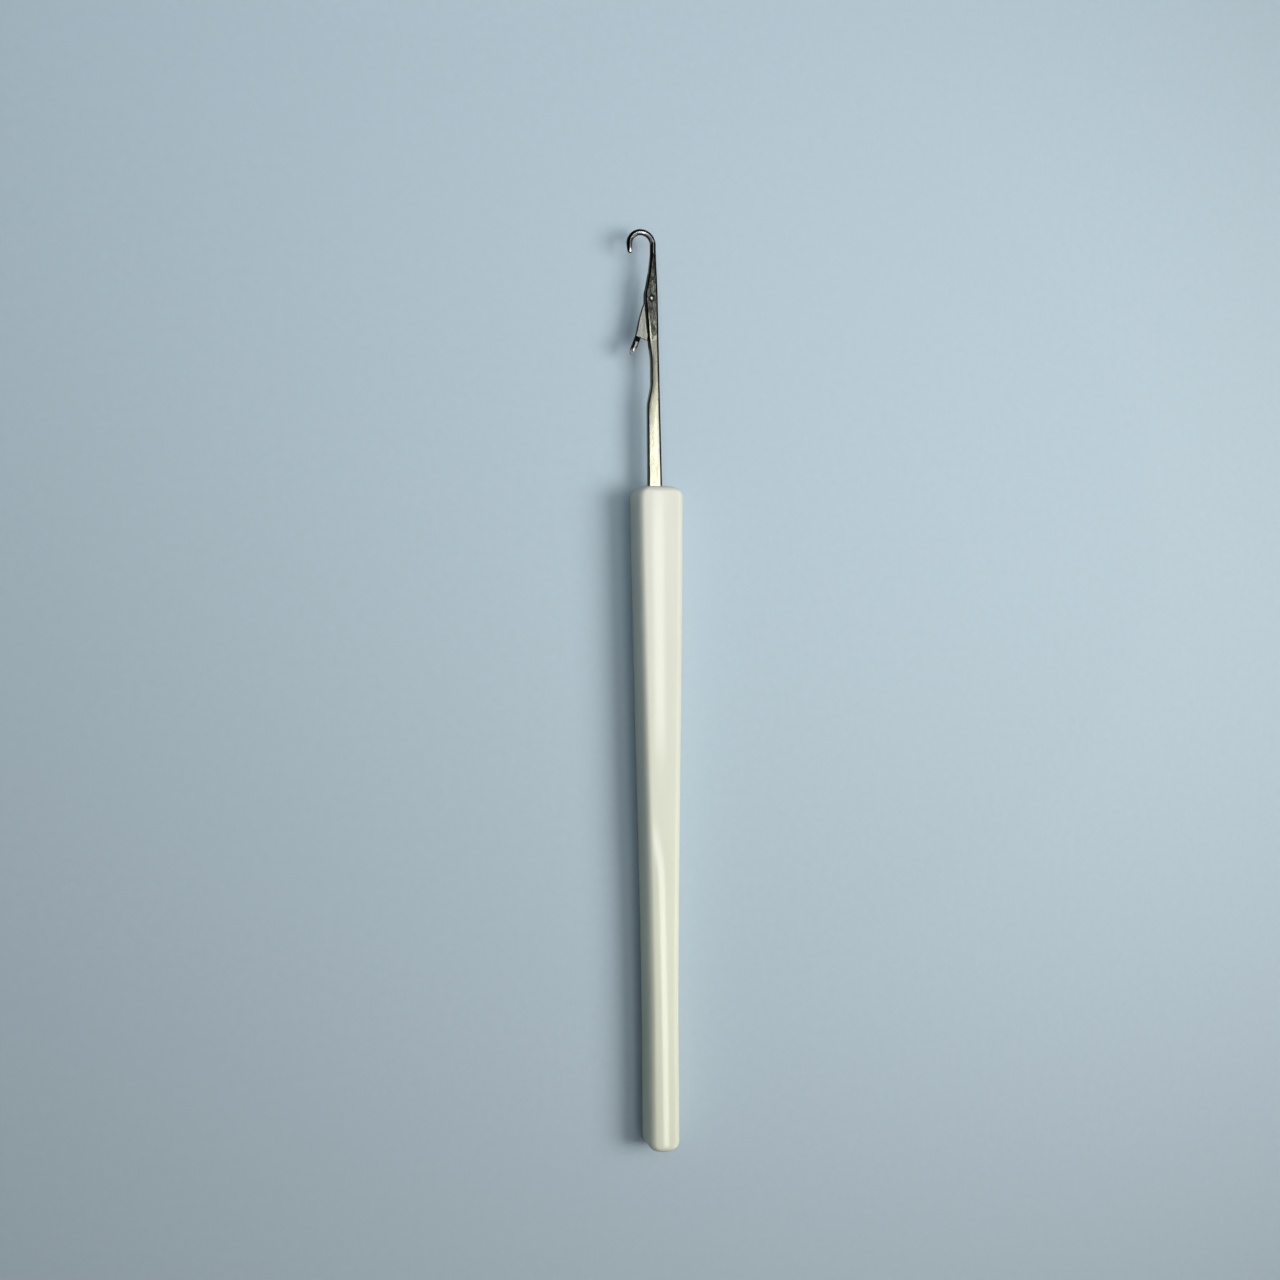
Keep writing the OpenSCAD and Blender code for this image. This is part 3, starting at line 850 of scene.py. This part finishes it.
def painted(tree, name, low, high):
    """A number that the piece keeps under a name, spread from low..high to 0..1."""
    node = tree.nodes.new("ShaderNodeAttribute")
    node.attribute_name = name
    return ramp(tree, node.outputs["Fac"], low, high)


def arithmetic(tree, operation, first, second):
    """A sum, product or other step of arithmetic; each input is a number or another node's output."""
    node = tree.nodes.new("ShaderNodeMath")
    node.operation = operation
    for socket, value in zip(node.inputs, (first, second)):
        if isinstance(value, bpy.types.NodeSocket):
            tree.links.new(value, socket)
        else:
            socket.default_value = value
    return node.outputs["Value"]


def product(tree, first, second):
    """The product of two values, which for shares is where both hold."""
    return arithmetic(tree, "MULTIPLY", first, second)


def total(tree, first, second):
    """The sum of two values."""
    return arithmetic(tree, "ADD", first, second)


def larger(tree, first, second):
    """The larger of two values, which for shares is where either holds."""
    return arithmetic(tree, "MAXIMUM", first, second)


def rest_of(tree, share_of):
    """What a share leaves of the whole."""
    return arithmetic(tree, "SUBTRACT", 1.0, share_of)


def between(tree, value, low, high, soft):
    """1 where the value lies from low to high, falling to 0 over the distance soft outside them."""
    risen = ramp(tree, value, low - soft, low)
    return product(tree, risen, rest_of(tree, ramp(tree, value, high, high + soft)))


def blend(tree, share_of, first, second):
    """A mix of two colours; a colour is a linear triple or another node's output."""
    node = tree.nodes.new("ShaderNodeMix")
    node.data_type = "RGBA"
    tree.links.new(share_of, node.inputs["Factor"])
    for key, value in (("A", first), ("B", second)):
        socket = next(s for s in node.inputs if s.name == key and s.type == "RGBA")
        if isinstance(value, bpy.types.NodeSocket):
            tree.links.new(value, socket)
        else:
            socket.default_value = (*value, 1.0)
    return next(s for s in node.outputs if s.type == "RGBA")


def bump(tree, height, distance, strength):
    """A bumped normal; distance is the height of the bumps in metres."""
    node = tree.nodes.new("ShaderNodeBump")
    node.inputs["Strength"].default_value = strength
    node.inputs["Distance"].default_value = distance
    tree.links.new(height, node.inputs["Height"])
    return node.outputs["Normal"]


def scaled(tint, by):
    """A colour made lighter or darker."""
    return tuple(min(1.0, c * by) for c in tint)


# Materials

# Where a finish or painted light or shade changes along Y, from the middle of the handle: its start and end
AGED_AND_LIT_LINE = (-0.02, 0.03)
STEM_SHADE_LINE = (0.0680, 0.0820)
SPOON_TIP_LINE = (0.0812, 0.0818)
MILLED_LINE = (0.0846, 0.08505)
BEND_LINE = (0.0994, 0.1000)
HOOK_LINE = (0.1003, 0.1010)
# Where the hook's left leg ends along X
LEG_LINE = (-0.0040, -0.0034)
# Stretches along Y with a painted shade or highlight of their own: the start, the end and the softness of
# both
RECESS_SHADE_STRETCH = (0.0715, 0.0800, 0.0018)
BEVEL_HIGHLIGHT_STRETCH = (0.0832, 0.0870, 0.0014)
LEG_STRETCH = (0.0993, 0.1007, 0.0005)
# Slants of the lines at which the milling and the hook's polish begin, and how ragged the first one is
MILLED_SLANT = -1.1
HOOK_SLANT = -0.8
RAGGED = 0.0016

# Colour of the painted shade on the plastic's walls
BLACK = (0.0, 0.0, 0.0)
# Bright polished steel of the hook, also used for the painted highlight on the spoon's tip
HOOK_TINT = (0.92, 0.92, 0.93)
MILLED_TINT = (0.27, 0.28, 0.25)
MILLED_DARK = (0.02, 0.023, 0.02)
# Colour of the painted shade on the stem towards the cheeks
STEM_SHADE = (0.19, 0.20, 0.175)


def plastic(h):
    """Ivory plastic, yellowed and painted lighter at the rear: faint colour clouds and a soft moulded
    waviness.

    The top keeps the mould's gloss, and the walls are worn matt and darkened a little by painted shade.
    """
    material, tree, shader, where = new_material("moulded_ivory_plastic")
    clouds = noise(tree, stretched(tree, where, (1.0, 0.35, 1.0)), 90.0)
    cloudy = ramp(tree, clouds, 0.3, 0.7)
    fresh = blend(tree, cloudy, scaled(h.tint, 0.97), scaled(h.tint, 1.02))
    aged_and_lit = blend(tree, cloudy, scaled(h.aged_and_lit, 0.97), scaled(h.aged_and_lit, 1.02))
    # Towards the rear the plastic is yellowed, and made lighter by painted light
    base = blend(tree, ramp(tree, axis_of(tree, where, "Y"), *AGED_AND_LIT_LINE), aged_and_lit, fresh)
    # Painted shade: the walls are darkened by up to an eighth, towards black
    base = blend(tree, product(tree, painted(tree, "flank", 0.03, 0.12), 0.12), base, BLACK)
    tree.links.new(base, shader.inputs["Base Color"])
    wall = painted(tree, "flank", 0.02, 0.06)
    tree.links.new(ramp(tree, wall, 0.0, 1.0, h.gloss, h.gloss + 0.25), shader.inputs["Roughness"])
    tree.links.new(rest_of(tree, wall), shader.inputs["Coat Weight"])
    shader.inputs["Coat Roughness"].default_value = 0.11
    shader.inputs["Specular IOR Level"].default_value = 0.25
    shader.inputs["IOR"].default_value = 1.5
    waves = noise(tree, stretched(tree, where, (1.0, 0.2, 1.0)), 160.0, 1.0)
    tree.links.new(bump(tree, waves, 0.00005, 0.4), shader.inputs["Normal"])
    return material


def steel(name, tint, gloss, stain, streak, contrast=(0.75, 1.12), flank=(0.002, 0.035), finish=None):
    """Tumbled steel: fine streaks along the needle and stains, with painted shade on its edges and walls.

    finish adds what only one piece has: it gets and gives back the colour, the roughness and the darkness.
    """
    material, tree, shader, where = new_material(name)
    lines = noise(tree, stretched(tree, where, (1.0, 0.03, 1.0)), streak, 5.0, 0.65)
    spots = noise(tree, stretched(tree, where, (1.0, 0.15, 1.0)), 900.0, 2.0)
    stains = noise(tree, stretched(tree, where, (1.0, 0.25, 1.0)), 380.0, 2.0)
    light, dim = scaled(tint, contrast[1]), scaled(tint, contrast[0])
    base = blend(tree, ramp(tree, lines, 0.35, 0.65), dim, light)
    base = blend(tree, ramp(tree, stains, 0.54, 0.76, 0.0, stain), base, scaled(tint, 0.3))
    rough = ramp(tree, spots, 0.3, 0.75, gloss - 0.05, gloss + 0.12)
    # Painted shade: rounded edges that lean a little away from level are darkened to near black
    dark = painted(tree, "flank", *flank)
    if finish is not None:
        base, rough, dark = finish(tree, where, tint, base, rough, dark)
    base = blend(tree, dark, base, scaled(tint, 0.03))
    # Painted shade greys the upright walls
    base = blend(tree, painted(tree, "flank", 0.6, 0.9), base, scaled(tint, 0.35))
    tree.links.new(base, shader.inputs["Base Color"])
    tree.links.new(rough, shader.inputs["Roughness"])
    tree.links.new(bump(tree, lines, 0.000003, 0.25), shader.inputs["Normal"])
    shader.inputs["Metallic"].default_value = 1.0
    return material


def needle_finish(tree, where, tint, base, rough, dark):
    """The cheeks are milled, stained dark and scratched, from a ragged slanted line up to the hook.

    Below them painted shade darkens the stem towards the cheeks and the front of the recess, and a
    painted highlight brightens a streak beside the slot. The yarn polishes the hook's inside and beak;
    painted shade darkens its outside, its left leg and its steep sides, and the needle's back edge.
    """
    x, y = axis_of(tree, where, "X"), axis_of(tree, where, "Y")
    ragged = product(tree, noise(tree, where, 1500.0), RAGGED)
    slanted = total(tree, total(tree, y, product(tree, x, MILLED_SLANT)), ragged)
    milled = ramp(tree, slanted, *MILLED_LINE)
    hook = ramp(tree, total(tree, y, product(tree, x, HOOK_SLANT)), *HOOK_LINE)
    not_hook = rest_of(tree, hook)
    scratches = noise(tree, stretched(tree, where, (1.0, 0.3, 1.0)), 2200.0, 5.0, 0.75, 1.5)
    stained = blend(tree, ramp(tree, scratches, 0.46, 0.64), MILLED_DARK, MILLED_TINT)
    # Painted shade darkens the stem towards the cheeks
    base = blend(tree, ramp(tree, y, *STEM_SHADE_LINE, 0.0, 0.8), base, STEM_SHADE)
    base = blend(tree, product(tree, milled, not_hook), base, stained)
    base = blend(tree, hook, base, HOOK_TINT)

    # Painted highlight on a streak beside the slot
    bevel_highlight = product(tree, between(tree, y, *BEVEL_HIGHLIGHT_STRETCH), painted(tree, "behind_front", 0.20, 0.32))
    bevel_highlight = product(tree, bevel_highlight, rest_of(tree, painted(tree, "behind_front", 0.42, 0.56)))
    base = blend(tree, product(tree, bevel_highlight, 0.85), base, scaled(tint, 0.9))
    # Painted shade at the front of the recess
    front = rest_of(tree, painted(tree, "behind_front", 0.25, 0.85))
    recess_shade = product(tree, between(tree, y, *RECESS_SHADE_STRETCH), front)
    base = blend(tree, product(tree, recess_shade, 0.85), base, scaled(tint, 0.15))

    bend = product(tree, hook, ramp(tree, y, *BEND_LINE))
    beak = product(tree, hook, rest_of(tree, bend))
    rough = product(tree, rough, ramp(tree, beak, 0.0, 1.0, 1.0, 0.55))
    # Painted shade on the hook's outside, its left leg and its steep sides, and on the needle's back edge
    outside = rest_of(tree, painted(tree, "inside_bend", -0.08, 0.18))
    leg = product(tree, between(tree, y, *LEG_STRETCH), rest_of(tree, ramp(tree, x, *LEG_LINE)))
    outside = larger(tree, outside, product(tree, leg, 0.8))
    hook_shade = larger(tree, painted(tree, "flank", 0.16, 0.30), outside)
    back_edge = rest_of(tree, painted(tree, "before_back", 0.32, 0.42))
    line = larger(tree, product(tree, back_edge, not_hook), product(tree, hook_shade, hook))
    base = blend(tree, line, base, scaled(tint, 0.015))
    return base, rough, product(tree, dark, rest_of(tree, larger(tree, line, hook)))


def latch_finish(tree, where, tint, base, rough, dark):
    """The tip of the latch's spoon is painted bright as a painted highlight, and the painted edge shade is
    left off there.
    """
    # Painted highlight: the spoon's tip is painted bright
    tip = rest_of(tree, ramp(tree, axis_of(tree, where, "Y"), *SPOON_TIP_LINE))
    base = blend(tree, tip, base, HOOK_TINT)
    return base, rough, product(tree, dark, rest_of(tree, product(tree, tip, 0.8)))


def floor_material(tint):
    """A matt pale sheet with the faintest grain."""
    material, tree, shader, where = new_material("pale_sheet")
    grain = noise(tree, where, 700.0)
    base = blend(tree, ramp(tree, grain, 0.3, 0.7), scaled(tint, 0.985), scaled(tint, 1.015))
    tree.links.new(base, shader.inputs["Base Color"])
    shader.inputs["Roughness"].default_value = 0.6
    return material


# Stage

FLOOR_CELLS = 8


def build_floor(stage):
    """The floor: a flat square grid a hair below the tool."""
    step = np.linspace(-stage.floor_side / 2, stage.floor_side / 2, FLOOR_CELLS + 1)
    x, y = np.meshgrid(step, step)
    points = np.stack([x, y, np.full_like(x, -stage.floor_gap)], -1).reshape(-1, 3)
    row = FLOOR_CELLS + 1
    i = (np.arange(FLOOR_CELLS)[:, None] * row + np.arange(FLOOR_CELLS)[None, :]).ravel()
    mesh = bpy.data.meshes.new("floor")
    mesh.from_pydata(points.tolist(), [], np.stack([i, i + 1, i + row + 1, i + row], -1).tolist())
    mesh.materials.append(floor_material(stage.floor_tint))
    floor = bpy.data.objects.new("floor", mesh)
    bpy.context.scene.collection.objects.link(floor)


def area_light(name, at, size, watts, tint, aim=None, spread=180.0):
    """A soft rectangular light at a place, which shines at aim or else straight down.

    spread is its beam's angle in degrees.
    """
    data = bpy.data.lights.new(name, "AREA")
    data.shape = "RECTANGLE"
    data.size, data.size_y = size
    data.energy = watts
    data.color = tint
    data.spread = math.radians(spread)
    light = bpy.data.objects.new(name, data)
    light.location = at
    way = Vector(aim or (at[0], at[1], 0.0)) - Vector(at)
    light.rotation_euler = way.to_track_quat("-Z", "Y").to_euler()
    light.visible_camera = False
    bpy.context.scene.collection.objects.link(light)
    return light


def build_lights():
    """A key and a fill that light without glints, five level lights that the tool mirrors, and four cards.

    The cards stand round the tool and show only in its reflections, so that its steel isn't black from the
    side.
    """
    key = area_light(
        "key_light", (0.33, 0.02, 0.36), (0.30, 0.30), 0.435, (1.0, 0.965, 0.91), (0.03, 0.05, 0.0), 70.0
    )
    key.visible_glossy = False
    area_light("panel_light", (0.110, 0.032, 0.45), (0.055, 0.123), 0.084, (1.0, 0.99, 0.94))
    area_light("front_light", (0.126, 0.127, 0.45), (0.08, 0.044), 0.057, (1.0, 1.0, 0.92))
    area_light("hook_light", (0.140, 0.250, 0.45), (0.24, 0.054), 0.155, (1.0, 1.0, 1.0))
    area_light("ceiling_light", (0.13, 0.17, 0.46), (0.25, 0.35), 0.056, (0.95, 0.98, 1.0))
    area_light("strip_light", (0.060, -0.16, 0.45), (0.070, 0.17), 0.19, (1.0, 0.98, 0.94))
    fill = area_light(
        "fill_light", (-0.15, 0.25, 0.45), (0.30, 0.30), 0.145, (0.80, 0.93, 1.0), (-0.05, 0.20, 0.0), 66.0
    )
    fill.visible_glossy = False
    far, up = 0.9, 0.42
    cards = {
        "left_card": (-far, 0), "right_card": (far, 0), "rear_card": (0, -far), "front_card": (0, far),
    }
    for name, (x, y) in cards.items():
        card = area_light(name, (x, y, up), (1.6, 0.7), 1.3, (0.95, 0.98, 1.0), (0.0, 0.0, up))
        card.visible_diffuse = False


def build_surroundings():
    """Faint even light from all round."""
    world = bpy.data.worlds.new("soft_surroundings")
    world.use_nodes = True
    background = world.node_tree.nodes["Background"]
    background.inputs["Color"].default_value = (0.75, 0.85, 0.95, 1.0)
    background.inputs["Strength"].default_value = 0.045
    bpy.context.scene.world = world


def build_camera(stage):
    """The camera, which looks at its aim on the table and is rolled a little about its line of sight."""
    data = bpy.data.cameras.new("camera")
    data.sensor_width = 36.0
    data.sensor_fit = "HORIZONTAL"
    data.lens = data.sensor_width / 2 / math.tan(stage.field / 2)
    data.clip_start = 0.01
    camera = bpy.data.objects.new("camera", data)
    at = Vector((stage.camera_x, stage.camera_y, stage.camera_z))
    look = (Vector((stage.aim_x, stage.aim_y, 0.0)) - at).normalized()
    right = look.cross(Vector((0.0, 1.0, 0.0))).normalized()
    top = right.cross(look) * math.cos(stage.roll) + right * math.sin(stage.roll)
    side = look.cross(top)
    camera.matrix_world = Matrix((
        (side.x, top.x, -look.x, at.x),
        (side.y, top.y, -look.y, at.y),
        (side.z, top.z, -look.z, at.z),
        (0.0, 0.0, 0.0, 1.0),
    ))
    bpy.context.scene.collection.objects.link(camera)
    bpy.context.scene.camera = camera
    bpy.context.scene.view_settings.view_transform = "Standard"


# Operators, panel and registration

class LATCHTOOL_OT_stage(bpy.types.Operator):
    """Add the floor, the lights and the camera."""

    bl_idname = "latchtool.stage"
    bl_label = "Stage"

    def execute(self, context):
        stage = context.scene.latch_tool.stage
        build_floor(stage)
        build_lights()
        build_surroundings()
        build_camera(stage)
        return {"FINISHED"}


class LATCHTOOL_OT_handle(bpy.types.Operator):
    """Build the moulded handle."""

    bl_idname = "latchtool.handle"
    bl_label = "Handle"

    def execute(self, context):
        tool = context.scene.latch_tool
        dress(build_handle(tool), "handle", plastic(tool.handle))
        return {"FINISHED"}


class LATCHTOOL_OT_needle(bpy.types.Operator):
    """Build the needle with its cheeks and hook."""

    bl_idname = "latchtool.needle"
    bl_label = "Needle"

    def execute(self, context):
        tool = context.scene.latch_tool
        material = steel(
            "tumbled_needle_steel", tool.needle.tint, tool.needle.gloss, stain=0.4, streak=1500.0,
            contrast=(0.82, 1.08), finish=needle_finish,
        )
        dress(build_needle(tool), "needle", material)
        return {"FINISHED"}


class LATCHTOOL_OT_rivet(bpy.types.Operator):
    """Build the pivot rivet."""

    bl_idname = "latchtool.rivet"
    bl_label = "Rivet"

    def execute(self, context):
        tool = context.scene.latch_tool
        # The painted edge shade starts at very slight slopes, so it darkens the domed heads all round their
        # middles
        material = steel(
            "rivet_steel", tool.latch.rivet_tint, tool.latch.gloss, stain=0.1, streak=900.0,
            flank=(0.0004, 0.0045),
        )
        dress(build_rivet(tool), "rivet", material)
        return {"FINISHED"}


class LATCHTOOL_OT_latch(bpy.types.Operator):
    """Build the swinging latch."""

    bl_idname = "latchtool.latch"
    bl_label = "Latch"

    def execute(self, context):
        tool = context.scene.latch_tool
        material = steel(
            "tumbled_latch_steel", tool.latch.tint, tool.latch.gloss, stain=0.12, streak=500.0,
            contrast=(0.94, 1.05), finish=latch_finish,
        )
        dress(build_latch(tool), "latch", material)
        return {"FINISHED"}


OPERATORS = (
    LATCHTOOL_OT_stage,
    LATCHTOOL_OT_handle,
    LATCHTOOL_OT_needle,
    LATCHTOOL_OT_rivet,
    LATCHTOOL_OT_latch,
)


class LATCHTOOL_PT_panel(bpy.types.Panel):
    """Lists the pieces of the latch tool and their sizes."""

    bl_label = "Latch Tool"
    bl_idname = "LATCHTOOL_PT_panel"
    bl_space_type = "VIEW_3D"
    bl_region_type = "UI"
    bl_category = "Latch Tool"

    def draw(self, context):
        tool = context.scene.latch_tool
        for operator in OPERATORS:
            self.layout.operator(operator.bl_idname)
        for part in ("handle", "needle", "latch", "fit", "stage"):
            box = self.layout.box()
            box.label(text=part.capitalize())
            group = getattr(tool, part)
            for key in group.bl_rna.properties.keys():
                if key not in ("rna_type", "name"):
                    box.prop(group, key)


CLASSES = (
    HandleSizes,
    NeedleSizes,
    LatchSizes,
    FitSizes,
    StageSettings,
    LatchToolSettings,
    *OPERATORS,
    LATCHTOOL_PT_panel,
)


def register():
    """Registers the classes and hangs the settings on the scene."""
    for cls in CLASSES:
        bpy.utils.register_class(cls)
    bpy.types.Scene.latch_tool = bpy.props.PointerProperty(type=LatchToolSettings)


def unregister():
    """Takes the settings and the classes away again."""
    del bpy.types.Scene.latch_tool
    for cls in reversed(CLASSES):
        bpy.utils.unregister_class(cls)


def main():
    """Builds the stage and every piece."""
    register()
    bpy.ops.latchtool.stage()
    bpy.ops.latchtool.handle()
    bpy.ops.latchtool.needle()
    bpy.ops.latchtool.rivet()
    bpy.ops.latchtool.latch()


if __name__ == "__main__":
    main()
